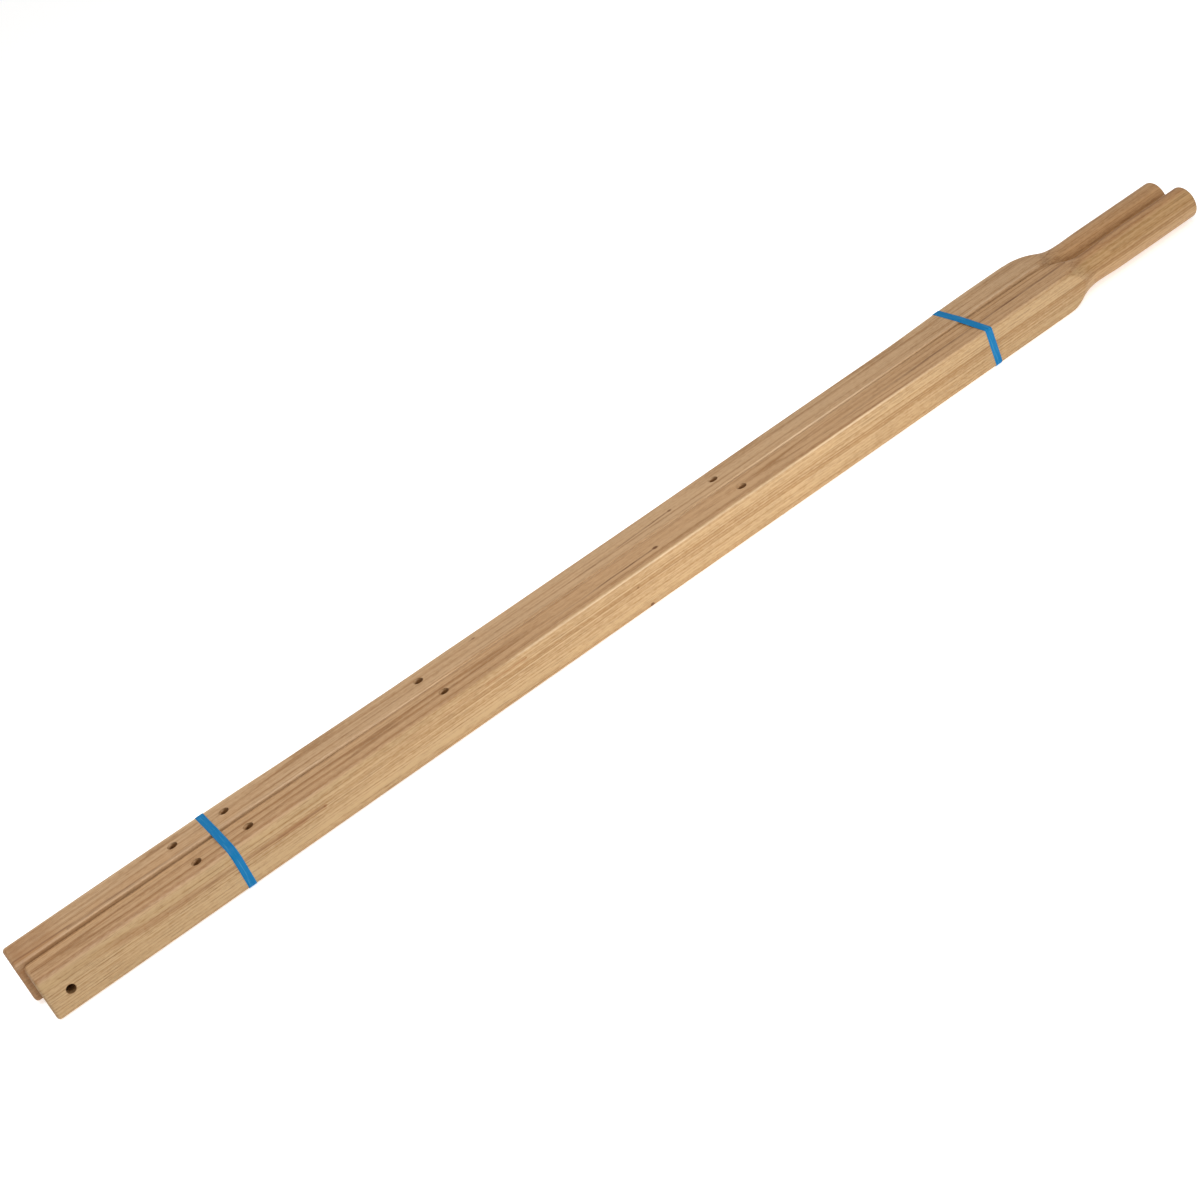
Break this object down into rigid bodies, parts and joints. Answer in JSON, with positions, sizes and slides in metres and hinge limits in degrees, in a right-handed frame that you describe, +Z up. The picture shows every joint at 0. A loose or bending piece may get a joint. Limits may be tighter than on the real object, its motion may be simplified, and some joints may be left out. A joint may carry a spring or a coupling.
{
  "type": "wheelbarrow shaft bundle",
  "caption": "Bundle of straight square-section ash wheelbarrow shafts with turned round grips and cross-drilled bolt holes, held side by side by flat blue plastic packing straps.",
  "frame": {"origin": "middle of the pair's length, on the plane where the two shafts meet, at the height of the straps' underside, which is what the pair rests on", "axes": "+X along the shafts from the drilled ends towards the grips, +Y from the left shaft towards the right shaft, +Z up"},
  "size_m": [1.507, 0.0916, 0.0461],
  "materials": {
    "ash": "planed and sanded, bare or lightly oiled, straight grain",
    "strap": "embossed polypropylene strapping, low sheen"
  },
  "bodies": {
    "root": {"left_shaft": "ash", "right_shaft": "ash", "front_strap": "strap", "rear_strap": "strap"}
  },
  "joints": []
}
